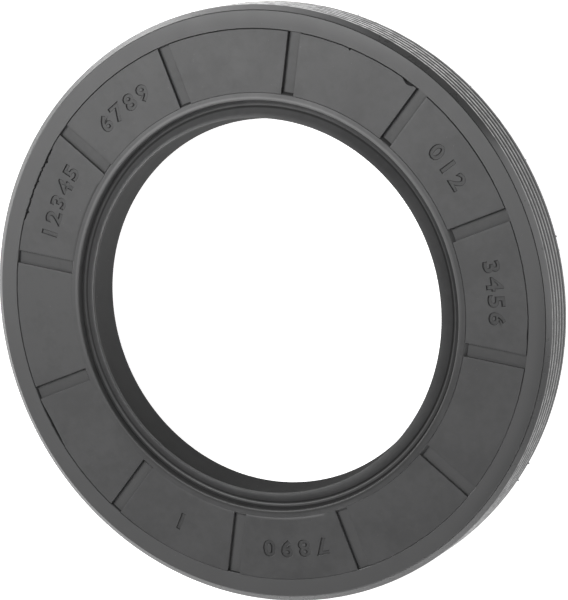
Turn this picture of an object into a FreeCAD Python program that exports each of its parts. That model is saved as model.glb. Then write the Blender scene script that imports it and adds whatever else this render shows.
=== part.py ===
import FreeCAD, Part
import math
import os

# Radial shaft seal, rubber-covered, lying flat with its marked air side up.
# The shaft axis is Z and the oil side's end face is the plane z = 0.
# Lengths are in millimetres, angles in degrees. A "run" is radial, a "drop" or "rise" axial.

# Sizes that the real seal is sold by
shaft_diameter = 60.0
housing_bore = 95.0
seal_width = 8.0

# Ribbed outside
rib_count = 6
rib_height = 0.3
rib_crest_width = 0.25
rib_root_width = 0.25
air_chamfer_run = 0.94
air_chamfer_drop = 0.75
oil_chamfer_run = 0.6
oil_chamfer_rise = 0.75

# Air-side face, from its outer edge in to the raised rim
outer_band_run = 2.73
parting_width = 0.2
parting_depth = 0.12
rim_rise = 0.1
rim_slope_run = 0.9
rim_flat_run = 0.26

# Radial slots in the face
slot_count = 12
slot_width = 2.1
slot_ramp_run = 0.44
slot_floor_cover = 0.25

# Trench inside the rim, its inner shoulder, and the notch at the dust lip's foot
trench_run = 0.8
trench_draft_run = 0.15
trench_floor_run = 0.2
trench_depth = 1.15
shoulder_run = 0.3
shoulder_drop = 0.84
notch_depth = 0.21

# Dust lip
dust_interference = 0.17
dust_lip_run = 1.72
dust_tip_drop = 0.04
dust_tip_bevel = 0.12
dust_tip_land = 0.3
dust_root_run = 0.6
dust_root_drop = 0.61
dust_root_rounding = 0.3

# Sealing lip
lip_interference = 0.79
lip_edge_drop = 5.35
lip_edge_land = 0.25
lip_nose_drop = 1.35
lip_nose_rounding = 0.3
oil_cone_angle = 45.0
lip_wall_at_groove = 1.6
groove_lip_run = 0.1
membrane_run = 1.23
waist_drop = 0.7
waist_rounding = 0.5
lip_root_run = 0.85

# Stiffening ring: one pressed L-section sheet, and the rubber around it
sheet = 1.0
inner_bend = 0.4
jacket_wall = 0.9
cover_over_flange = 0.85
cover_under_leg = 0.7
cover_at_flange_edge = 0.59
wrap_run = 1.8
wrap_thickness = 0.6

# Garter spring, seated in the lip's groove
spring_coil_r = 0.9
spring_offset = 0.5
spring_clearance = 0.04

# Outside and face
outer_r = housing_bore / 2
face_z = seal_width - rim_rise
face_outer_r = outer_r - air_chamfer_run
rib_top = face_z - air_chamfer_drop
rib_pitch = (rib_top - oil_chamfer_rise - rib_crest_width) / (rib_count - 1)
rib_flank = (rib_pitch - rib_crest_width - rib_root_width) / 2
parting_r = face_outer_r - outer_band_run

# Dust lip, trench and rim, stacked outwards from the shaft
shaft_r = shaft_diameter / 2
dust_tip_r = shaft_r - dust_interference
notch_r = dust_tip_r + dust_lip_run
shoulder_r = notch_r + shoulder_run
rim_inner_r = shoulder_r + trench_run
rim_crest_r = rim_inner_r + rim_flat_run
field_inner_r = rim_crest_r + rim_slope_run
shoulder_z = face_z - shoulder_drop
notch_z = shoulder_z - notch_depth
dust_root_r = notch_r - dust_root_run
dust_root_z = notch_z - dust_root_drop

# Stiffening ring
ring_outer_r = outer_r - rib_height - jacket_wall
ring_inner_r = ring_outer_r - sheet
outer_bend = inner_bend + sheet
flange_inner_r = field_inner_r + cover_at_flange_edge
flange_top = face_z - cover_over_flange
flange_bottom = flange_top - sheet
slot_floor = flange_top + slot_floor_cover

# Sealing lip and garter spring
lip_free_r = shaft_r - lip_interference
lip_edge_z = face_z - lip_edge_drop
lip_nose_z = lip_edge_z - lip_nose_drop
groove_r = spring_coil_r + spring_clearance
spring_seat_r = lip_free_r + lip_wall_at_groove + groove_r
spring_z = lip_edge_z + spring_offset
groove_lip_r = spring_seat_r + groove_lip_run
wrap_bottom = flange_bottom - wrap_thickness
waist_z = wrap_bottom - waist_drop

origin = FreeCAD.Vector(0, 0, 0)
axis = FreeCAD.Vector(0, 0, 1)


def direction(start, end):
    """Unit vector from one point to another."""
    step = end - start
    return step.multiply(1 / step.Length)


def section(corners):
    """Closed r-z face through corners (r, z) or (r, z, rounding), rounded by tangent arcs."""
    points = [FreeCAD.Vector(corner[0], 0, corner[1]) for corner in corners]
    edges = []
    pen = None
    for i in range(len(corners) + 1):
        corner = corners[i % len(corners)]
        here = points[i % len(points)]
        back = direction(here, points[i % len(points) - 1])
        ahead = direction(here, points[(i + 1) % len(points)])
        entry, leave, arc = here, here, None
        if len(corner) > 2:
            rounding = corner[2]
            half = back.getAngle(ahead) / 2
            setback = rounding / math.tan(half)
            entry = here + back * setback
            leave = here + ahead * setback
            middle = here + direction(origin, back + ahead) * (rounding / math.sin(half) - rounding)
            arc = Part.Arc(entry, middle, leave).toShape()
        if pen is not None:
            edges.append(Part.LineSegment(pen, entry).toShape())
        if arc is not None and i < len(corners):
            edges.append(arc)
        pen = leave
    return Part.Face(Part.Wire(edges))


def turned(corners):
    """Solid of revolution of a section about the shaft axis."""
    return section(corners).revolve(origin, axis, 360)


def heel_corners():
    """Corners of the oil side's end face, from the ring's inner face out to its chamfer."""
    return [(ring_inner_r, 0), (outer_r - oil_chamfer_run, 0)]


def rib_corners():
    """Corners of the ribbed outside, from the oil side up to the air-side chamfer."""
    corners = []
    for i in range(rib_count):
        crest_bottom = oil_chamfer_rise + i * rib_pitch
        if i > 0:
            root_bottom = crest_bottom - rib_flank - rib_root_width
            corners.append((outer_r - rib_height, root_bottom))
            corners.append((outer_r - rib_height, root_bottom + rib_root_width))
        corners.append((outer_r, crest_bottom))
        corners.append((outer_r, crest_bottom + rib_crest_width))
    return corners


def face_corners():
    """Corners of the air-side face, from its outer edge in to the dust lip's tip."""
    trench_outer_r = rim_inner_r - trench_draft_run
    trench_z = face_z - trench_depth
    dust_tip_z = seal_width - dust_tip_drop
    return [
        (face_outer_r, face_z),
        (parting_r + parting_width / 2, face_z),
        (parting_r, face_z - parting_depth),
        (parting_r - parting_width / 2, face_z),
        (field_inner_r, face_z),
        (rim_crest_r, seal_width),
        (rim_inner_r, seal_width),
        (trench_outer_r, trench_z),
        (trench_outer_r - trench_floor_run, trench_z),
        (shoulder_r, shoulder_z),
        (notch_r, notch_z),
        (dust_tip_r + dust_tip_bevel, dust_tip_z),
        (dust_tip_r, dust_tip_z - dust_tip_bevel),
        (dust_tip_r, dust_tip_z - dust_tip_bevel - dust_tip_land),
    ]


def lip_corners():
    """Corners of the sealing lip, from the dust lip's root round to the stiffening ring."""
    land_top = lip_edge_z + lip_edge_land / 2
    land_bottom = lip_edge_z - lip_edge_land / 2
    nose_r = lip_free_r + (land_bottom - lip_nose_z) * math.tan(math.radians(oil_cone_angle))
    air_cone_slope = (dust_root_r - lip_free_r) / (dust_root_z - land_top)
    waist_r = lip_free_r + (waist_z - land_top) * air_cone_slope + membrane_run
    return [
        (dust_root_r, dust_root_z, dust_root_rounding),
        (lip_free_r, land_top),
        (lip_free_r, land_bottom),
        (nose_r, lip_nose_z),
        (groove_lip_r, lip_nose_z, lip_nose_rounding),
        (groove_lip_r, spring_z + spring_coil_r),
        (waist_r, waist_z, waist_rounding),
        (waist_r + lip_root_run, wrap_bottom, waist_rounding),
        (flange_inner_r + wrap_run, wrap_bottom),
        (flange_inner_r + wrap_run, flange_bottom),
    ]


def seat_corners():
    """Corners of the rubber's seat for the stiffening ring, from its flange to its leg's end."""
    return [
        (flange_inner_r, flange_bottom),
        (flange_inner_r, flange_top),
        (ring_outer_r, flange_top, outer_bend),
        (ring_outer_r, cover_under_leg),
        (ring_inner_r, cover_under_leg),
    ]


def slots():
    """Cutters for the radial slots: a ramped ring trench, kept only inside each radial bar."""
    trench = turned([
        (field_inner_r, seal_width),
        (field_inner_r, face_z),
        (field_inner_r + slot_ramp_run, slot_floor),
        (parting_r, slot_floor),
        (parting_r, seal_width),
    ])
    cutters = []
    for i in range(slot_count):
        corner = FreeCAD.Vector(0, -slot_width / 2, 0)
        bar = Part.makeBox(outer_r, slot_width, seal_width, corner)
        bar.rotate(origin, axis, i * 360 / slot_count)
        cutters.append(trench.common(bar))
    return cutters


def rubber_body():
    """Moulded jacket, face, dust lip and sealing lip, in one piece."""
    outline = heel_corners() + rib_corners() + face_corners() + lip_corners() + seat_corners()
    groove = Part.makeTorus(spring_seat_r, groove_r, FreeCAD.Vector(0, 0, spring_z))
    return turned(outline).cut(groove).cut(slots())


def stiffening_ring():
    """Pressed steel ring of L section, bonded into the rubber."""
    return turned([
        (ring_inner_r, cover_under_leg),
        (ring_outer_r, cover_under_leg),
        (ring_outer_r, flange_top, outer_bend),
        (flange_inner_r, flange_top),
        (flange_inner_r, flange_bottom),
        (ring_inner_r, flange_bottom, inner_bend),
    ])


def garter_spring():
    """Outer form of the closed coil spring that holds the lip to the shaft."""
    return Part.makeTorus(spring_seat_r, spring_coil_r, FreeCAD.Vector(0, 0, spring_z))


nodes = {
    "rubber_body": rubber_body,
    "stiffening_ring": stiffening_ring,
    "garter_spring": garter_spring,
}

os.makedirs("parts", exist_ok=True)
for name, build in nodes.items():
    shape = build()
    shape.exportStep("parts/" + name + ".step")
    print(name, "solids", len(shape.Solids), "valid", shape.isValid(), "volume %.1f" % shape.Volume,
          "z %.2f to %.2f" % (shape.BoundBox.ZMin, shape.BoundBox.ZMax))
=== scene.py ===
import math

import bmesh
import bpy
from mathutils import Matrix, Vector, noise


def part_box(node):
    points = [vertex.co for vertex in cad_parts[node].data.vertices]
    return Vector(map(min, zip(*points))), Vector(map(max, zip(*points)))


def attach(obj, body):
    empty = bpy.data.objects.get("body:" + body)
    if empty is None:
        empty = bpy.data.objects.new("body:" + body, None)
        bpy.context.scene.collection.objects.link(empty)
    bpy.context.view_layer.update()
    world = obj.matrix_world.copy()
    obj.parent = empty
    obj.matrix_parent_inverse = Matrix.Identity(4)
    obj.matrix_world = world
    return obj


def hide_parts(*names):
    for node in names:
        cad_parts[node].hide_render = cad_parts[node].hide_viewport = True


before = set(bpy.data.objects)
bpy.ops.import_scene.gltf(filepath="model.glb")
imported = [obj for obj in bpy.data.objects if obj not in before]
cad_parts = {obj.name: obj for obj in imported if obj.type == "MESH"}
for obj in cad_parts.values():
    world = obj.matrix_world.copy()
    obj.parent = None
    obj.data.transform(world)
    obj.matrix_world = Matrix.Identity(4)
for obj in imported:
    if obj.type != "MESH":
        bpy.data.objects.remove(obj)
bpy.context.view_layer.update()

# Lengths are in millimetres and angles in degrees until a mesh is finished.
mm = 0.001

# How near places are merged, and how near they count as level or as equally far out
merge_distance = 0.0005
same_height = 0.001
same_radius = 0.01

# Sizes that the frame gives
rubber_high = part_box("rubber_body")[1] / mm
ring_low, ring_high = (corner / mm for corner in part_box("stiffening_ring"))
spring_low, spring_high = (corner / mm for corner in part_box("garter_spring"))
outer_r = rubber_high.x
rim_z = rubber_high.z
ring_outer_r = ring_high.x
flange_top = ring_high.z
leg_end_z = ring_low.z
spring_coil_r = (spring_high.z - spring_low.z) / 2
spring_z = (spring_high.z + spring_low.z) / 2
spring_seat_r = spring_high.x - spring_coil_r

# Ribbed outside
rib_count = 6
rib_height = 0.3
rib_crest_width = 0.14
rib_root_width = 0.42
rib_rounding = 0.04
heel_outer_r = 46.9
heel_rounding = 0.12
lowest_crest_z = 0.75
highest_crest_z = 7.15

# Air-side face
face_z = 7.9
face_outer_r = 46.56
face_edge_r = 46.59
face_edge_groove = 0.12
face_edge_run = 0.05
face_edge_rounding = 0.03
chamfer_inner_r = face_outer_r + 0.1
chamfer_top_z = face_z - 0.08
parting_r = 43.83
parting_width = 0.2
parting_depth = 0.12
field_inner_r = 33.81
field_edge_groove = 0.05
deep_groove_azimuth = 15
rim_crest_r = 32.91
rim_inner_r = 32.65
rim_rounding = 0.12
rim_inner_rounding = 1.6 * rim_rounding

# Radial slots
slot_count = 12
slot_width = 2.1
slot_ramp_r = 34.25
slot_floor_z = 7.3
slot_rounding = 0.05

# Parting line: its depth round the seal and its shift outwards, as (azimuth, length) in turning order
parting_depths = [(0, 0.16), (6, 0.16), (9, 0.3), (86, 0.3), (90, 0.24), (205, 0.24), (220, 0.1), (320, 0.1),
                  (326, 0.16), (360, 0.16)]
parting_shifts = [(0, 0), (37, 0), (45, -0.1), (80, -0.1), (88, 0), (124, 0), (129, -0.17), (138, -0.17),
                  (142, 0), (360, 0)]
parting_wander = 0.04
torn_wander = 4 * parting_wander

# Where the parting line gapes, as (first azimuth, last azimuth, extra width inwards)
parting_gaps = [(31.9, 34.9, 0.42), (181.9, 192.9, 0.3), (47.2, 47.7, 0.25), (333.9, 336.9, 0.1),
                (127.6, 128.5, 0.3), (139.4, 140.6, 0.3), (132.6, 133.2, 0.18)]
gap_margin = 0.3
gap_steepness = 1.3
torn_from, torn_to = 124.9, 141.9
torn_width = 0.2

# Ripples along the parting line, as (ripples in a degree, row of the noise)
wander_ripple = (0.7, 0)
depth_ripple = (1.7, 2)
torn_ripple = (1.9, 5)
width_ripple = (3.3, 9)

# Bits of flash on the lowest rib: azimuths, height, and how far each and its fine cuts reach to a side
flash_azimuths = [51, 38, 25.3, 8.1, 353, 350.4, 308.5, 304.5, 260.5]
flash_height = 0.2
flash_reach = 0.12
flash_cut_reach = 0.5

# Engraved counting digits: each row's text, the azimuth of its middle and its step from digit to digit
digit_rows = [("12345", 134.9, 4.0), ("6789", 105.4, 4.1), ("012", 14.9, 4.1), ("3456", -15.6, 3.95),
              ("7890", 255.1, 4.5), ("1", 224.9, 4.0)]
digit_r = 38.87
digit_height = 2.67
digit_stretch = 1.15
digit_boldness = 0.02
digit_depth = 0.22
digit_bevel = 0.11

# How many steps a row's panel is longer than the row, and how far from its middle its open edges reach
row_margin = 0.6
row_reach = 14

# Trench, shoulder and dust lip
trench_z = 6.75
trench_outer_r = 32.5
trench_inner_r = 32.3
trench_rounding = 0.1
shoulder_r, shoulder_z = 31.85, 7.06
shoulder_rounding = 0.06
notch_r, notch_z = 31.55, 6.85
notch_rounding = 0.05
dust_tip_r, dust_tip_z = 29.83, 7.96
dust_tip_bevel = 0.07
dust_tip_rounding = 0.05
dust_land_z = 7.54
dust_land_rounding = 0.06
dust_root_r, dust_root_z = 30.95, 6.24
dust_root_rounding = 0.3

# Sealing lip
lip_r = 29.21
lip_edge_z = 2.55
lip_edge_land = 0.25
lip_edge_rounding = 0.04
lip_nose_r, lip_nose_z = 30.435, 1.2
lip_nose_rounding = 0.08
groove_r = 0.94
groove_from, groove_to, groove_step = 276, 84, -16
groove_lip_r = 31.85
groove_lip_rounding = 0.3
waist_r, waist_z = 31.45, 4.75
waist_rounding = 0.5
lip_root_r = 32.3

# Seat of the stiffening ring
wrap_r, wrap_z = 36.2, 5.45
wrap_rounding = 0.12
flange_inner_r = 34.4
flange_bottom = 6.05
ring_inner_r = 45.3
leg_foot_rounding = 0.1
outer_bend = 1.4

# How finely the pieces are turned and cut
turn_steps = 540
slot_edge_step = 2
slot_blend_steps = 5
fine_cuts = 4

# Garter spring
wire_r = 0.175
spring_turns = 550
points_per_turn = 9

# Angles past which an edge stays sharp
rubber_sharp_angle = 33
wire_sharp_angle = 60


def radius(place):
    """Distance of a place from the shaft axis."""
    return math.hypot(place.x, place.y)


def azimuth(place):
    """Angle in degrees of a place round the shaft axis, from 0 to 360."""
    return math.degrees(math.atan2(place.y, place.x)) % 360


def turn_between(first, second):
    """Unsigned angle in degrees between two azimuths."""
    return abs((first - second + 180) % 360 - 180)


def turned(place, angle):
    """A place turned round the shaft axis by an angle in degrees."""
    return Matrix.Rotation(math.radians(angle), 3, "Z") @ place


def slot_angle(place):
    """Angle in radians of a place past the middle of the nearest slot."""
    pitch = 2 * math.pi / slot_count
    return (math.atan2(place.y, place.x) + pitch / 2) % pitch - pitch / 2


def middle_of(edge):
    """Place halfway along an edge."""
    return (edge.verts[0].co + edge.verts[1].co) / 2


def verts_among(parts):
    """The vertices among the parts that an operator made."""
    return [part for part in parts if isinstance(part, bmesh.types.BMVert)]


def grow(vert, factor):
    """Moves a vertex away from the shaft axis to a multiple of its distance."""
    vert.co.x *= factor
    vert.co.y *= factor


def rounded_outline(corners):
    """A bmesh with the closed outline through corners (r, z, rounding, segments) in the plane y = 0."""
    bm = bmesh.new()
    places = [Vector((corner[0], 0, corner[1])) for corner in corners]
    verts = [bm.verts.new(place) for place in places]
    bm.faces.new(verts)
    for i, corner in enumerate(corners):
        if len(corner) > 2:
            rounding, segments = corner[2:]
            to_last = (places[i - 1] - places[i]).normalized()
            to_next = (places[(i + 1) % len(places)] - places[i]).normalized()
            setback = rounding / math.tan(to_last.angle(to_next) / 2)
            bmesh.ops.bevel(bm, geom=[verts[i]], offset=setback, offset_type="OFFSET", segments=segments,
                            profile=0.5, affect="VERTICES", clamp_overlap=False, material=-1)
    bmesh.ops.delete(bm, geom=bm.faces[:], context="FACES_ONLY")
    return bm


def spin_round(bm):
    """Turns an outline once round the shaft axis."""
    bmesh.ops.spin(bm, geom=bm.verts[:] + bm.edges[:], cent=(0, 0, 0), axis=(0, 0, 1),
                   angle=2 * math.pi, steps=turn_steps, use_merge=True)
    bmesh.ops.remove_doubles(bm, verts=bm.verts, dist=merge_distance)
    bmesh.ops.recalc_face_normals(bm, faces=bm.faces)


def finished(name, bm, material, sharp_angle):
    """The piece's object, in metres, riding on the seal's one body."""
    bmesh.ops.scale(bm, vec=(mm, mm, mm), verts=bm.verts)
    mesh = bpy.data.meshes.new(name)
    bm.to_mesh(mesh)
    bm.free()
    mesh.polygons.foreach_set("use_smooth", [True] * len(mesh.polygons))
    mesh.set_sharp_from_angle(angle=math.radians(sharp_angle))
    mesh.materials.append(material)
    piece = bpy.data.objects.new(name, mesh)
    bpy.context.collection.objects.link(piece)
    shading = piece.modifiers.new("even_shading", "WEIGHTED_NORMAL")
    shading.keep_sharp = True
    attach(piece, "root")
    return piece


def rib_outline():
    """The ribbed outside, from the lowest crest up."""
    pitch = (highest_crest_z - lowest_crest_z - rib_crest_width) / (rib_count - 1)
    flank = (pitch - rib_crest_width - rib_root_width) / 2
    root_r = outer_r - rib_height
    outline = []
    for i in range(rib_count):
        crest_z = lowest_crest_z + i * pitch
        if i > 0:
            root_z = crest_z - flank - rib_root_width
            outline.append((root_r, root_z, rib_rounding, 2))
            outline.append((root_r, root_z + rib_root_width, rib_rounding, 2))
        outline.append((outer_r, crest_z, rib_rounding, 2))
        outline.append((outer_r, crest_z + rib_crest_width, rib_rounding, 2))
    return outline


def face_outline():
    """The air-side face, from the chamfer's top in to the dust lip's root."""
    return [
        (chamfer_inner_r, chamfer_top_z),
        (face_edge_r, face_z - face_edge_groove),
        (face_outer_r - face_edge_run, face_z, face_edge_rounding, 2),
        (parting_r + parting_width / 2, face_z),
        (parting_r, face_z - parting_depth),
        (parting_r - parting_width / 2, face_z),
        (slot_ramp_r, face_z),
        (field_inner_r + field_edge_groove, face_z),
        (field_inner_r, face_z - field_edge_groove),
        (field_inner_r - field_edge_groove, face_z),
        (rim_crest_r, rim_z, rim_rounding, 2),
        (rim_inner_r, rim_z, rim_inner_rounding, 4),
        (trench_outer_r, trench_z, trench_rounding, 2),
        (trench_inner_r, trench_z, shoulder_rounding, 2),
        (shoulder_r, shoulder_z, shoulder_rounding, 2),
        (notch_r, notch_z, notch_rounding, 2),
        (dust_tip_r + dust_tip_bevel, dust_tip_z, dust_tip_rounding, 2),
        (dust_tip_r, dust_tip_z - dust_tip_bevel, dust_tip_rounding, 2),
        (dust_tip_r, dust_land_z, dust_land_rounding, 2),
        (dust_root_r, dust_root_z, dust_root_rounding, 4),
    ]


def lip_outline():
    """The sealing lip with its spring groove, and on round the stiffening ring's seat to the heel."""
    groove = []
    for angle in range(groove_from, groove_to, groove_step):
        groove.append((spring_seat_r + groove_r * math.cos(math.radians(angle)),
                       spring_z + groove_r * math.sin(math.radians(angle))))
    return [
        (lip_r, lip_edge_z + lip_edge_land / 2, lip_edge_rounding, 2),
        (lip_r, lip_edge_z - lip_edge_land / 2, lip_edge_rounding, 2),
        (lip_nose_r, lip_nose_z, lip_nose_rounding, 2),
        (groove_lip_r, lip_nose_z, groove_lip_rounding, 4),
        *groove,
        (waist_r, waist_z, waist_rounding, 4),
        (lip_root_r, wrap_z, waist_rounding, 4),
        (wrap_r, wrap_z, wrap_rounding, 2),
        (wrap_r, flange_bottom),
        (flange_inner_r, flange_bottom),
        (flange_inner_r, flange_top),
        (ring_outer_r, flange_top, outer_bend, 4),
        (ring_outer_r, leg_end_z),
        (ring_inner_r, leg_end_z),
        (ring_inner_r, 0, leg_foot_rounding, 2),
        (heel_outer_r, 0, heel_rounding, 2),
    ]


def straighten_slot_columns(bm):
    """Moves the turned columns round the axis so that two run along each slot's parallel edges."""
    step = 2 * math.pi / turn_steps
    edge = slot_edge_step * step
    blend = slot_blend_steps * step
    slack = 1.01
    for vert in bm.verts:
        angle = slot_angle(vert.co)
        shift = math.asin(slot_width / 2 / radius(vert.co)) - edge
        if abs(angle) <= edge * slack:
            shift *= angle / edge
        else:
            shift *= math.copysign(max(0, 1 - (abs(angle) - edge) / blend), angle)
        vert.co = Matrix.Rotation(shift, 3, "Z") @ vert.co


def cut_slots(bm):
    """Sinks the field between each pair of slot edges to the slot's ramped floor."""
    sunk = []
    for face in bm.faces:
        middle = face.calc_center_median()
        r = radius(middle)
        off_middle = abs(r * math.sin(slot_angle(middle)))
        if field_inner_r < r < parting_r and middle.z > slot_floor_z and off_middle < slot_width / 2:
            sunk.append(face)
    grown = bmesh.ops.extrude_face_region(bm, geom=sunk)["geom"]
    for vert in verts_among(grown):
        ramp = (radius(vert.co) - field_inner_r) / (slot_ramp_r - field_inner_r)
        vert.co.z = min(vert.co.z, face_z - min(1, max(0, ramp)) * (face_z - slot_floor_z))
    bmesh.ops.delete(bm, geom=[face for face in sunk if face.is_valid], context="FACES")
    bmesh.ops.remove_doubles(bm, verts=bm.verts, dist=merge_distance)


def soften_slots(bm):
    """Rounds the long edges of the slots."""
    shortest_length = 1
    least_bend = math.radians(60)
    edges = []
    for edge in bm.edges:
        first, last = (vert.co for vert in edge.verts)
        on_face = min(first.z, last.z) > face_z - same_height
        if on_face and abs(radius(first) - radius(last)) > shortest_length:
            if edge.calc_face_angle(0) > least_bend:
                edges.append(edge)
    bmesh.ops.bevel(bm, geom=edges, offset=slot_rounding, segments=2, profile=0.5,
                    affect="EDGES", material=-1)


def table_value(table, angle):
    """Value at an angle of a table of (angle, value) rows from 0 to 360."""
    for (start, first), (end, last) in zip(table, table[1:]):
        if angle <= end:
            break
    return first + (last - first) * (angle - start) / (end - start)


def ripple(angle, pattern):
    """Noise from about -1 to 1 along an azimuth, of one of the patterns (ripples in a degree, row)."""
    rate, row = pattern
    return noise.noise(Vector((angle * rate, row, 0)))


def gap_width(angle):
    """Extra width of the parting line at an angle."""
    for start, end, width in parting_gaps:
        if start < angle < end:
            return width * math.sin(math.pi * (angle - start) / (end - start))
    return 0


def in_parting_line(vert):
    """Whether a vertex belongs to the groove of the parting line."""
    off_line = abs(radius(vert.co) - parting_r)
    return off_line < 0.6 * parting_width and face_z - 1.1 * parting_depth < vert.co.z < rim_z


def refine_parting_line(bm):
    """Cuts the parting line finely where it is torn or gapes."""
    stretches = [(torn_from, torn_to)]
    stretches += [(start - gap_margin, end + gap_margin) for start, end, _ in parting_gaps]
    fine = []
    for edge in bm.edges:
        first, last = edge.verts
        inside = in_parting_line(first) and in_parting_line(last)
        if inside and abs(radius(first.co) - radius(last.co)) < 2 * same_radius:
            angle = azimuth(middle_of(edge))
            if any(start < angle < end for start, end in stretches):
                fine.append(edge)
    bmesh.ops.subdivide_edges(bm, edges=fine, cuts=fine_cuts, use_grid_fill=True)


def open_parting_line(bm):
    """Gives the parting line its changing depth, its wander and its torn and gaping stretches."""
    for vert in [vert for vert in bm.verts if in_parting_line(vert)]:
        angle, r = azimuth(vert.co), radius(vert.co)
        wander = table_value(parting_shifts, angle) + parting_wander * ripple(angle, wander_ripple)
        width = gap_width(angle)
        if torn_from < angle < torn_to:
            wander += torn_wander * ripple(angle, torn_ripple)
            width += torn_width * (0.4 + 1.6 * abs(ripple(angle, width_ripple)))
        if r < parting_r - parting_width / 4:
            wander -= width
        elif r < parting_r + parting_width / 4:
            wander -= width / 2
            roughness = 1 + 0.4 * ripple(angle, depth_ripple)
            depth = table_value(parting_depths, angle) * roughness + gap_steepness * width
            vert.co.z = face_z - min(depth, face_z - slot_floor_z)
        grow(vert, 1 + wander / r)


def fade_edge_grooves(bm):
    """Deepens the grooves at the face's two edges on one side and lets them fade on the other."""
    for vert in bm.verts:
        for groove_at, depth in ((field_inner_r, field_edge_groove), (face_edge_r, face_edge_groove)):
            at_bottom = abs(vert.co.z - face_z + depth) < same_height
            if at_bottom and abs(radius(vert.co) - groove_at) < same_radius:
                turn = math.radians(azimuth(vert.co) - deep_groove_azimuth)
                vert.co.z = face_z - depth * (1 + math.cos(turn))


def off_flash(place):
    """Angle in degrees between a place and the nearest bit of flash."""
    return min(turn_between(azimuth(place), flash_azimuth) for flash_azimuth in flash_azimuths)


def raise_flash(bm):
    """Pulls small bits of flash out of the lowest rib."""
    crest = []
    for edge in bm.edges:
        first, last = (vert.co for vert in edge.verts)
        along = abs(first.z - last.z) < same_height and first.z < lowest_crest_z + rib_crest_width
        if along and radius(first) > outer_r - same_radius and off_flash(middle_of(edge)) < flash_cut_reach:
            crest.append(edge)
    parts = bmesh.ops.subdivide_edges(bm, edges=crest, cuts=fine_cuts, use_grid_fill=True)["geom_inner"]
    for vert in verts_among(parts):
        if off_flash(vert.co) < flash_reach:
            grow(vert, 1 + flash_height / outer_r)


def add_digit(bm, digit, digit_azimuth):
    """Adds one digit's floor and walls, its top outwards and its rim level with the face."""
    curve = bpy.data.curves.new("engraved_digit", "FONT")
    curve.body = digit
    curve.resolution_u = 3
    curve.offset = digit_boldness
    text = bpy.data.objects.new("engraved_digit", curve)
    mesh = bpy.data.meshes.new_from_object(text)
    bpy.data.objects.remove(text)
    mark = bmesh.new()
    mark.from_mesh(mesh)
    bmesh.ops.remove_doubles(mark, verts=mark.verts, dist=merge_distance)
    low = Vector((min(vert.co.x for vert in mark.verts), min(vert.co.y for vert in mark.verts)))
    high = Vector((max(vert.co.x for vert in mark.verts), max(vert.co.y for vert in mark.verts)))
    scale = digit_height / (high.y - low.y)
    for vert in mark.verts:
        across = (vert.co.x - (low.x + high.x) / 2) * scale * digit_stretch
        outwards = digit_r + (vert.co.y - (low.y + high.y) / 2) * scale
        vert.co = turned(Vector((outwards, -across, face_z - digit_depth)), digit_azimuth)
    rim = [edge for edge in mark.edges if edge.is_boundary]
    for vert in verts_among(bmesh.ops.extrude_edge_only(mark, edges=rim)["geom"]):
        vert.co.z = face_z
    mark.to_mesh(mesh)
    mark.free()
    bm.from_mesh(mesh)


def digit_panels(bm):
    """The field's faces round the rows of digits."""
    reaches = [(row, step * (len(digits) + row_margin) / 2) for digits, row, step in digit_rows]
    panels = []
    for face in bm.faces:
        middle = face.calc_center_median()
        on_field = slot_ramp_r < radius(middle) < parting_r - parting_width
        if on_field and abs(middle.z - face_z) < same_height:
            if any(turn_between(azimuth(middle), row) < reach for row, reach in reaches):
                panels.append(face)
    return panels


def engrave_digits(bm):
    """Engraves the rows of digits in the field, read clockwise, and softens their rims."""
    bmesh.ops.delete(bm, geom=digit_panels(bm), context="FACES")
    for digits, row, step in digit_rows:
        for i, digit in enumerate(digits):
            add_digit(bm, digit, row - (i - (len(digits) - 1) / 2) * step)
    open_edges = [edge for edge in bm.edges if edge.is_boundary]
    rims = []
    for digits, row, step in digit_rows:
        near = [edge for edge in open_edges if turn_between(azimuth(middle_of(edge)), row) < row_reach]
        bmesh.ops.triangle_fill(bm, edges=near, use_beauty=True, normal=(0, 0, 1))
        rims += [edge for edge in near if abs(radius(middle_of(edge)) - digit_r) < 0.6 * digit_height
                 and edge.calc_length() < 1.2 * digit_height]
    bmesh.ops.bevel(bm, geom=rims, offset=digit_bevel, segments=1, profile=0.5, affect="EDGES", material=-1)


def rubber_mesh():
    """The moulded rubber: ribbed jacket, slotted face, dust lip and sealing lip."""
    bm = rounded_outline(rib_outline() + face_outline() + lip_outline())
    spin_round(bm)
    straighten_slot_columns(bm)
    cut_slots(bm)
    soften_slots(bm)
    refine_parting_line(bm)
    open_parting_line(bm)
    fade_edge_grooves(bm)
    raise_flash(bm)
    engrave_digits(bm)
    bmesh.ops.recalc_face_normals(bm, faces=bm.faces)
    return bm


def spring_mesh():
    """The garter spring as a closed coil of thin wire, bent to a ring."""
    curve = bpy.data.curves.new("garter_coil", "CURVE")
    curve.dimensions = "3D"
    curve.bevel_depth = wire_r
    curve.bevel_resolution = 1
    spline = curve.splines.new("POLY")
    count = spring_turns * points_per_turn
    spline.points.add(count - 1)
    for i in range(count):
        round_ring = 2 * math.pi * i / count
        round_coil = 2 * math.pi * i / points_per_turn
        r = spring_seat_r + (spring_coil_r - wire_r) * math.cos(round_coil)
        z = spring_z + (spring_coil_r - wire_r) * math.sin(round_coil)
        spline.points[i].co = (r * math.cos(round_ring), r * math.sin(round_ring), z, 1)
    spline.use_cyclic_u = True
    coil = bpy.data.objects.new("garter_coil", curve)
    bm = bmesh.new()
    bm.from_mesh(bpy.data.meshes.new_from_object(coil))
    bpy.data.objects.remove(coil)
    return bm


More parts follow.
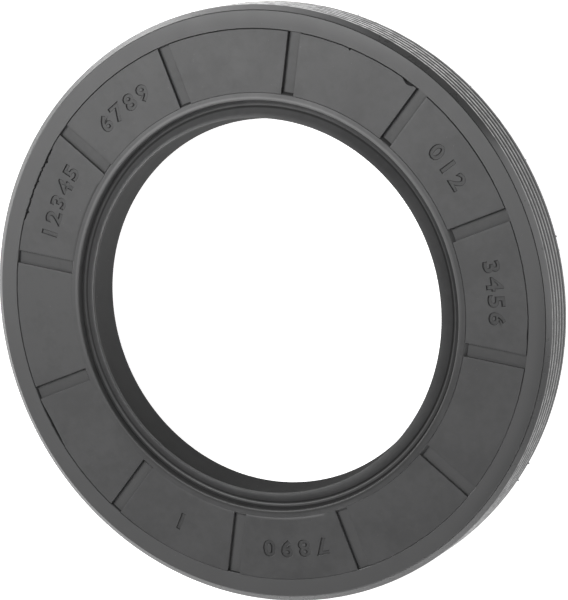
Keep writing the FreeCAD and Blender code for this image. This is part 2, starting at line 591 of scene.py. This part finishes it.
class Wire:
    """An output of a shader node. Sums and products of wires become Math nodes."""

    def __init__(self, finish, socket):
        self.finish = finish
        self.socket = socket

    def maths(self, operation, *values):
        """One Math node of an operation on these values."""
        return self.finish.node("ShaderNodeMath", {"operation": operation}, dict(enumerate(values)))

    def __add__(self, other):
        return self.maths("ADD", self, other)

    __radd__ = __add__

    def __sub__(self, other):
        return self.maths("SUBTRACT", self, other)

    def __rsub__(self, other):
        return self.maths("SUBTRACT", other, self)

    def __mul__(self, other):
        return self.maths("MULTIPLY", self, other)

    __rmul__ = __mul__

    def __abs__(self):
        return self.maths("ABSOLUTE", self)


class Finish:
    """A material and its node tree. Its wires carry lengths in metres, and its methods take millimetres."""

    def __init__(self, name):
        self.material = bpy.data.materials.new(name)
        self.material.use_nodes = True
        self.tree = self.material.node_tree
        self.shader = self.tree.nodes["Principled BSDF"]

    def node(self, kind, settings, sockets, output=0):
        """Adds a node, gives it its settings and then its sockets' values or wires."""
        node = self.tree.nodes.new(kind)
        for name, value in settings.items():
            setattr(node, name, value)
        for socket, value in sockets.items():
            self.connect(node.inputs[socket], value)
        return Wire(self, node.outputs[output])

    def connect(self, socket, value):
        """Gives a socket a wire or a constant."""
        if isinstance(value, Wire):
            self.tree.links.new(value.socket, socket)
        else:
            socket.default_value = value

    def set(self, **values):
        """Gives the shader's own sockets their wires or constants, a space in a name as an underscore."""
        for name, value in values.items():
            self.connect(self.shader.inputs[name.replace("_", " ")], value)

    def place(self):
        """The place on the piece."""
        return self.node("ShaderNodeTexCoord", {}, {}, "Object")

    def height(self):
        """Height above the floor."""
        return self.node("ShaderNodeSeparateXYZ", {}, {0: self.place()}, "Z")

    def axis_distance(self):
        """Distance from the shaft axis."""
        flat = self.node("ShaderNodeVectorMath", {"operation": "MULTIPLY"}, {0: self.place(), 1: (1, 1, 0)})
        return self.node("ShaderNodeVectorMath", {"operation": "LENGTH"}, {0: flat}, "Value")

    def off_slot_middle(self):
        """Distance from the middle line of the nearest slot."""
        x, y = (self.node("ShaderNodeSeparateXYZ", {}, {0: self.place()}, axis) for axis in "XY")
        turn = y.maths("ARCTAN2", y, x)
        pitch = 2 * math.pi / slot_count
        past = turn.maths("FLOORED_MODULO", turn + pitch / 2, pitch) - pitch / 2
        return abs(self.axis_distance() * past.maths("SINE", past))

    def ramp(self, value, low, high, first=0.0, last=1.0):
        """A value brought from the range low to high to the range first to last, and held at its ends."""
        return self.node("ShaderNodeMapRange", {"interpolation_type": "SMOOTHSTEP"},
                         {0: value, 1: low, 2: high, 3: first, 4: last})

    def rise(self, length, low, high, top=1.0):
        """From 0 to a top value as a length goes from low to high."""
        return self.ramp(length, low * mm, high * mm, 0.0, top)

    def fall(self, length, low, high):
        """From 1 to 0 as a length goes from low to high."""
        return self.ramp(length, low * mm, high * mm, 1.0, 0.0)

    def band(self, inside_r, outside_r):
        """One between two radii, and nought inside and outside them."""
        edge = 0.08
        distance = self.axis_distance()
        past = self.rise(distance, outside_r - edge, outside_r)
        return self.rise(distance, inside_r, inside_r + edge) * (1 - past)

    def towards(self, to_azimuth, start, end):
        """From 0 to 1 across the seal towards an azimuth, between two distances past the shaft axis."""
        turn = math.radians(to_azimuth)
        along = self.node("ShaderNodeVectorMath", {"operation": "DOT_PRODUCT"},
                          {0: self.place(), 1: (math.cos(turn), math.sin(turn), 0)}, "Value")
        return self.rise(along, start, end)

    def noise(self, size, detail):
        """Soft noise from 0 to 1, its lumps about size millimetres across."""
        return self.node("ShaderNodeTexNoise", {},
                         {"Vector": self.place(), "Scale": 1 / (size * mm), "Detail": detail})

    def ring_noise(self, size, detail):
        """Noise from 0 to 1 that changes only with the distance from the shaft axis, as turning marks do."""
        return self.node("ShaderNodeTexNoise", {"noise_dimensions": "1D"},
                         {"W": self.axis_distance(), "Scale": 1 / (size * mm), "Detail": detail})

    def blend(self, factor, first, second):
        """A colour between two colours."""
        return self.node("ShaderNodeMix", {"data_type": "RGBA"}, {0: factor, 6: first, 7: second}, 2)

    def by_side(self, tone, *changes):
        """A tone that turns to other ones, each change given as (side, tone there)."""
        for side, side_tone in changes:
            tone = self.blend(self.towards(*side), tone, side_tone)
        return tone

    def bumps(self, height, depth, below=None):
        """A normal for surface bumps of a depth, over those that lie below."""
        sockets = {"Strength": 1.0, "Distance": depth * mm, "Height": height}
        if below:
            sockets["Normal"] = below
        return self.node("ShaderNodeBump", {}, sockets)


def grey(tone, blue=0.0):
    """A grey, with a touch more blue where it is wanted."""
    return (tone, tone, tone + blue, 1)


# How much bluer some of the greys are, and how far above the slots' floors their tones reach
cool = 0.001
floor_edge = 0.04

# Sides of the seal towards which painted light or painted shade sets in, as (azimuth, start, end): the
# distances past the axis between which it sets in
field_painted_light_side = (130, 10, parting_r)
band_painted_light_side = (125, 25, face_outer_r)
band_edge_painted_light_side = (62, 38, 45)
band_edge_painted_shade_side = (318, 38, 45)
rim_painted_highlight_side = (75, -rim_crest_r, rim_crest_r)
shoulder_painted_highlight_side = (255, 0, shoulder_r)
slot_floor_painted_light_side = (255, -10, parting_r)
chamfer_painted_light_side = (355, 42, 46.5)
chamfer_painted_shade_side = (30, 44.5, 46.5)
chamfer_second_painted_light_side = (74, 41, 46.5)
groove_painted_shade_side = (35, 34, outer_r)
crest_painted_highlight_side = (55, 30, outer_r)
crest_weak_highlight_side = (0, 30, outer_r)
lip_painted_shade_side = (270, -lip_r, lip_r)
line_painted_shade_side = (195, 0, parting_r)
slot_mouths_less_shade_side = (150, 10, 0.9 * parting_r)
slot_mouths_painted_shade_side = (275, 15, 0.9 * parting_r)
end_walls_painted_shade_side = (75, 0, 0.9 * slot_ramp_r)
end_walls_weak_shade_side = (240, -5, 0.6 * slot_ramp_r)
trench_painted_shade_side = (270, -trench_outer_r, trench_outer_r)

# Depths below the face between which painted shade sets in
wall_painted_shade_depths = (0.02, 0.08)
digit_painted_shade_depths = (0.005, 0.04)
line_painted_shade_depths = (0.12, 0.35)
edge_painted_shade_depths = (0.06, 0.2)


def below_face(finish, depths):
    """From 0 to 1 between two depths below the face."""
    start, full = depths
    return finish.fall(finish.height(), face_z - full, face_z - start)


def digit_painted_shade(finish, digits):
    """Painted shade on the digits' walls, where digits tells the zone that holds them."""
    digit_floor_z = face_z - digit_depth
    above_floor = finish.rise(finish.height(), digit_floor_z, digit_floor_z + 0.03)
    return 0.9 * below_face(finish, digit_painted_shade_depths) * above_floor * digits


def slot_painted_shade(finish, digits):
    """Painted shade on the slots' end walls, stronger towards two sides, and along their corners, outside
    the digits' zone.
    """
    height = finish.height()
    above_floor = finish.rise(height, slot_floor_z, slot_floor_z + floor_edge)
    walls = below_face(finish, wall_painted_shade_depths) * above_floor * finish.band(field_inner_r, slot_ramp_r)
    # Painted shade on the end walls, stronger towards two sides; painted shade along the corners below
    walls = walls * (finish.towards(*end_walls_painted_shade_side) + 0.4 * finish.towards(*end_walls_weak_shade_side))
    walls = walls * (1 - digits)
    corner = finish.rise(finish.off_slot_middle(), 0.28 * slot_width, 0.42 * slot_width, 0.25)
    return walls + corner * finish.fall(height, slot_floor_z, slot_floor_z + floor_edge)


def line_painted_shade(finish):
    """Painted shade in the parting line, thinner or thicker where it closes the slots' outer ends and darker
    towards one side.
    """
    slot_end = finish.fall(finish.off_slot_middle(), 0.48 * slot_width, 0.52 * slot_width)
    line = 0.35 + 0.65 * finish.towards(*line_painted_shade_side)
    line = line * (1 - slot_end * finish.towards(*slot_mouths_less_shade_side))
    line = line + 0.6 * slot_end * finish.towards(*slot_mouths_painted_shade_side)
    return line * below_face(finish, line_painted_shade_depths)


def recess_painted_shade(finish):
    """Painted shade in the face's recesses: slots, digits, parting line and the groove at the outer edge."""
    digits = finish.band(digit_r - digit_height, digit_r + digit_height)
    digits = digits * finish.rise(finish.off_slot_middle(), 0.6 * slot_width, 0.65 * slot_width)
    field = finish.band(field_inner_r, parting_r - 0.12)
    line = finish.band(parting_r - 0.12, parting_r + 0.5)
    edge = finish.band(face_outer_r - 0.1, face_outer_r + 0.1)
    return ((slot_painted_shade(finish, digits) + digit_painted_shade(finish, digits)) * field
            + line_painted_shade(finish) * line + below_face(finish, edge_painted_shade_depths) * edge)


def trench_painted_shade(finish):
    """Painted shade at the foot of the trench, strongest towards one side, and in the notch at the dust
    lip's root.
    """
    foot = finish.band(trench_inner_r - 0.1, trench_outer_r + 0.1)
    foot = foot * finish.fall(finish.height(), trench_z + 0.1, trench_z + 0.5)
    foot = foot * (0.15 + 0.85 * finish.towards(*trench_painted_shade_side))
    notch = finish.band(notch_r - 0.25, notch_r + 0.2)
    return foot + notch * finish.fall(finish.height(), notch_z, notch_z + 0.25)


def chamfer_zone(finish):
    """One outside the face."""
    return finish.rise(finish.axis_distance(), face_outer_r + 0.04, face_outer_r + 0.12)


def groove_zone(finish):
    """One in the grooves between the ribs and below them."""
    groove = finish.fall(finish.axis_distance(), outer_r - 0.18, outer_r - 0.06)
    groove = groove * finish.fall(finish.height(), highest_crest_z, highest_crest_z + 0.1)
    return groove * chamfer_zone(finish)


def lip_zone(finish):
    """One on the sealing lip and up to the dust lip's root."""
    lip = finish.fall(finish.height(), 6.0, 7.0)
    return lip * finish.fall(finish.axis_distance(), dust_root_r - 0.1, dust_root_r + 0.1)


def land_zone(finish):
    """One on the narrow land of the dust lip's tip."""
    land = finish.fall(finish.axis_distance(), dust_tip_r + 0.02, dust_tip_r + 0.08)
    return land * finish.rise(finish.height(), 7.0, 7.3)


def field_shade(finish):
    """The mottled grey of the plain rubber, with painted light making it lighter towards one side."""
    mottle = finish.ramp(0.6 * finish.noise(9, 2.0) + 0.4 * finish.noise(1.2, 3.0), 0.35, 0.65)
    # Painted light: the rubber grows lighter towards one side
    mottle = mottle + 0.45 * finish.towards(*field_painted_light_side)
    return finish.blend(mottle, grey(0.057, cool), grey(0.07, cool))


def face_shade(finish, shade):
    """The tones of the outer band, the rim, the shoulder and the slots' floors over the plain rubber's, with
    painted light, painted highlights and painted shade towards some sides.
    """
    distance = finish.axis_distance()
    smooth = finish.band(parting_r, face_outer_r)
    # Painted light: the outer band is lighter towards one side
    smooth_shade = finish.by_side(grey(0.079, cool), (band_painted_light_side, grey(0.09, cool)))
    shade = finish.blend(smooth, shade, smooth_shade)
    rim = finish.fall(distance, rim_crest_r + 0.1, rim_crest_r + 0.4)
    rim = rim * finish.rise(distance, trench_outer_r - 0.05, trench_outer_r)
    # Painted shade on the rim, with a painted highlight towards one side
    rim_shade = finish.by_side(grey(0.045), (rim_painted_highlight_side, grey(0.135, cool)))
    shade = finish.blend(rim, shade, rim_shade)
    # Painted highlight on the shoulder towards one side
    shoulder = finish.band(shoulder_r - 0.1, trench_inner_r - 0.1) * finish.towards(*shoulder_painted_highlight_side)
    shade = finish.blend(shoulder, shade, grey(0.14))
    # Painted light: the slots' floors are lighter towards one side
    slot_floor = finish.fall(finish.height(), slot_floor_z, slot_floor_z + floor_edge)
    slot_floor = slot_floor * finish.band(slot_ramp_r, parting_r) * finish.towards(*slot_floor_painted_light_side)
    shade = finish.blend(slot_floor, shade, grey(0.09, cool))
    # Painted light and painted shade: the band's outer edge is lighter towards one side and darker towards
    # another
    band_edge = smooth * finish.rise(distance, parting_r + 0.5, face_outer_r)
    for side, tone in ((band_edge_painted_light_side, grey(0.11, cool)), (band_edge_painted_shade_side, grey(0.06, cool))):
        shade = finish.blend(band_edge * finish.towards(*side), shade, tone)
    return shade


def chamfer_shade(finish):
    """The chamfer's tones: a plain grey, with painted light on one stretch, painted shade on another and
    more painted light on a third.
    """
    return finish.by_side(grey(0.06, cool), (chamfer_painted_light_side, grey(0.115, cool)),
                          (chamfer_painted_shade_side, grey(0.041)), (chamfer_second_painted_light_side, grey(0.092, cool)))


def crest_highlight(finish):
    """How strong the painted highlight on the rib crests is: patchy, and weaker on the near side."""
    crest = finish.rise(finish.axis_distance(), outer_r - 0.12, outer_r - 0.02)
    patches = finish.ramp(finish.noise(1.5, 4.0), 0.4, 0.6, 0.5, 1.0)
    return crest * patches * (1 - 0.35 * finish.towards(*crest_weak_highlight_side))


def rubber_finish():
    """Matt moulded rubber with faint mottling, painted highlights on the rib crests, painted light and
    painted shade towards some sides and in the recesses, fine dust and an orange-peel grain.
    """
    finish = Finish("moulded_rubber")
    chamfer = chamfer_zone(finish)
    groove = groove_zone(finish)
    lip = lip_zone(finish)
    land = land_zone(finish)
    air_side = finish.rise(finish.height(), flange_bottom, flange_bottom + 0.2)
    # Painted shade in the face's recesses and the trench, on the air side only
    painted_recess_shade = air_side * (recess_painted_shade(finish) + trench_painted_shade(finish))
    dust = finish.ramp(finish.noise(0.35, 1.0), 0.78, 0.82, 0.0, 0.15)

    plain = field_shade(finish)
    shade = finish.blend(air_side, plain, face_shade(finish, plain))
    # Painted light and painted shade on the chamfer, by side
    shade = finish.blend(chamfer, shade, chamfer_shade(finish))
    # Painted shade in the grooves between the ribs, darkest towards one side
    shade = finish.blend(groove, shade, finish.by_side(grey(0.042), (groove_painted_shade_side, grey(0.01))))
    # Painted highlight on the rib crests, brightest towards one side
    shade = finish.blend(crest_highlight(finish), shade, finish.by_side(grey(0.28), (crest_painted_highlight_side, grey(0.5))))
    # Painted shade on the sealing lip, darkest towards one side
    shade = finish.blend(lip, shade, finish.by_side(grey(0.058), (lip_painted_shade_side, grey(0.009))))
    # Painted shade on the narrow land under the dust lip's tip
    shade = finish.blend(land, shade, grey(0.03))
    # Painted shade: the recesses darkened
    shade = finish.blend(painted_recess_shade, shade, grey(0.025))
    shade = finish.blend(dust, shade, (0.3, 0.3, 0.29, 1))

    dull = 0.45 * (lip + painted_recess_shade) + 0.3 * (groove + land) - 0.16 * chamfer
    finish.set(Base_Color=shade, Roughness=0.38 + 0.14 * finish.noise(3, 3.0) + dull)
    waves = finish.bumps(finish.noise(7, 1.0), 0.012)
    finish.set(Normal=finish.bumps(finish.noise(0.3, 2.0), 0.006, waves))
    return finish.material


def ring_finish():
    """Pressed sheet steel, dull and blotched by its phosphate film, with fine turning marks."""
    finish = Finish("phosphated_sheet")
    film = finish.ramp(0.5 * finish.noise(4, 4.0) + 0.5 * finish.noise(0.6, 4.0), 0.38, 0.62)
    shade = finish.blend(film, (0.16, 0.16, 0.155, 1), (0.34, 0.335, 0.32, 1))
    finish.set(Base_Color=shade, Metallic=0.8, Roughness=0.38 + 0.25 * film)
    marks = finish.bumps(finish.ring_noise(0.2, 3.0), 0.01)
    finish.set(Normal=finish.bumps(finish.noise(0.15, 3.0), 0.004, marks))
    return finish.material


def wire_finish():
    """Drawn spring wire, bright under a thin patchy oil film."""
    finish = Finish("drawn_wire")
    film = finish.ramp(finish.noise(1.5, 4.0), 0.42, 0.6)
    shade = finish.blend(film, (0.56, 0.55, 0.53, 1), (0.3, 0.27, 0.23, 1))
    finish.set(Base_Color=shade, Metallic=1.0, Roughness=0.24 + 0.2 * film)
    finish.set(Normal=finish.bumps(finish.noise(0.08, 2.0), 0.003))
    return finish.material


# Soft round lights: azimuth, elevation and power
soft_lights = [(120, 62, 1.25), (90, 42, 0.08), (350, 40, 0.1), (0, 22, 0.08), (180, 22, 0.14),
               (225, 22, 0.2), (270, 22, 0.3), (315, 22, 0.12)]
soft_light_width = 300

# Low strips of light near the floor: azimuth and power
low_lights = [(0, 0.1), (30, 0.18), (60, 0.22), (90, 0.3), (120, 0.45), (150, 0.32), (180, 0.12), (210, 0.1),
              (240, 0.12), (270, 0.2), (300, 0.15), (330, 0.15)]
low_light_length, low_light_height = 200, 60
low_light_z = 40

light_distance = 400
floor_half_width = 2000

# The camera, fitted to the seal's outline and rings in the photo
view_tilt = 25.69
view_azimuth = 1.11
view_up_azimuth = 66.9
camera_place = Vector((208.04, 3.89, 432.46))
lens_width = 36.0
lens_pixels = 600
lens_focal_pixels = 3014.18


def area_light(name, place, power, length, height=None):
    """A soft light at a place, aimed at the seal's middle: a round one, or a strip if it has a height."""
    lamp = bpy.data.lights.new(name, "AREA")
    lamp.shape = "RECTANGLE" if height else "DISK"
    lamp.size = length * mm
    if height:
        lamp.size_y = height * mm
    lamp.energy = power
    light = bpy.data.objects.new(name, lamp)
    bpy.context.collection.objects.link(light)
    aim = place.to_track_quat("Z", "Y").to_matrix().to_4x4()
    light.matrix_world = Matrix.Translation(place * mm) @ aim


def studio_lights():
    """The round lights above the seal, and the strips that reach its ribbed outside."""
    for light_azimuth, elevation, power in soft_lights:
        raised = Matrix.Rotation(math.radians(-elevation), 3, "Y") @ Vector((light_distance, 0, 0))
        area_light("soft_light", turned(raised, light_azimuth), power, soft_light_width)
    for light_azimuth, power in low_lights:
        place = turned(Vector((light_distance, 0, low_light_z)), light_azimuth)
        area_light("low_light", place, power, low_light_length, low_light_height)


def camera_axes():
    """The camera's right, up and back directions as the columns of a matrix."""
    tilt, around, up = (math.radians(angle) for angle in (view_tilt, view_azimuth, view_up_azimuth))
    back = Vector((math.sin(tilt) * math.cos(around), math.sin(tilt) * math.sin(around), math.cos(tilt)))
    right = Vector((math.cos(up), math.sin(up), 0)).cross(back).normalized()
    return Matrix((right, back.cross(right), back)).transposed()


def place_camera():
    """A camera at the photo's place, looking down on the seal's face."""
    lens = bpy.data.cameras.new("camera")
    lens.sensor_width = lens_width
    lens.lens = lens_focal_pixels * lens_width / lens_pixels
    camera = bpy.data.objects.new("camera", lens)
    bpy.context.collection.objects.link(camera)
    camera.matrix_world = Matrix.Translation(camera_place * mm) @ camera_axes().to_4x4()
    bpy.context.scene.camera = camera


def pale_floor():
    """The plain floor that the seal lies on."""
    bm = bmesh.new()
    bmesh.ops.create_grid(bm, x_segments=1, y_segments=1, size=floor_half_width * mm)
    mesh = bpy.data.meshes.new("floor")
    bm.to_mesh(mesh)
    bm.free()
    finish = Finish("pale_floor")
    finish.set(Base_Color=grey(0.9), Roughness=0.9, Emission_Color=grey(1), Emission_Strength=0.95)
    mesh.materials.append(finish.material)
    floor = bpy.data.objects.new("floor", mesh)
    bpy.context.collection.objects.link(floor)


def pale_backdrop():
    """A pale world beyond the floor, which the camera sees and which adds no light."""
    world = bpy.data.worlds.new("studio")
    world.use_nodes = True
    backdrop = world.node_tree.nodes["Background"]
    backdrop.inputs["Color"].default_value = grey(1)
    rays = world.node_tree.nodes.new("ShaderNodeLightPath")
    world.node_tree.links.new(rays.outputs["Is Camera Ray"], backdrop.inputs["Strength"])
    bpy.context.scene.world = world


rubber = finished("rubber", rubber_mesh(), rubber_finish(), rubber_sharp_angle)
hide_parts("rubber_body")

spring = finished("coil_spring", spring_mesh(), wire_finish(), wire_sharp_angle)
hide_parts("garter_spring")

stiffening_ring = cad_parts["stiffening_ring"]
stiffening_ring.data.materials.clear()
stiffening_ring.data.materials.append(ring_finish())

pale_floor()
pale_backdrop()
place_camera()
studio_lights()
bpy.context.scene.view_settings.view_transform = "Standard"
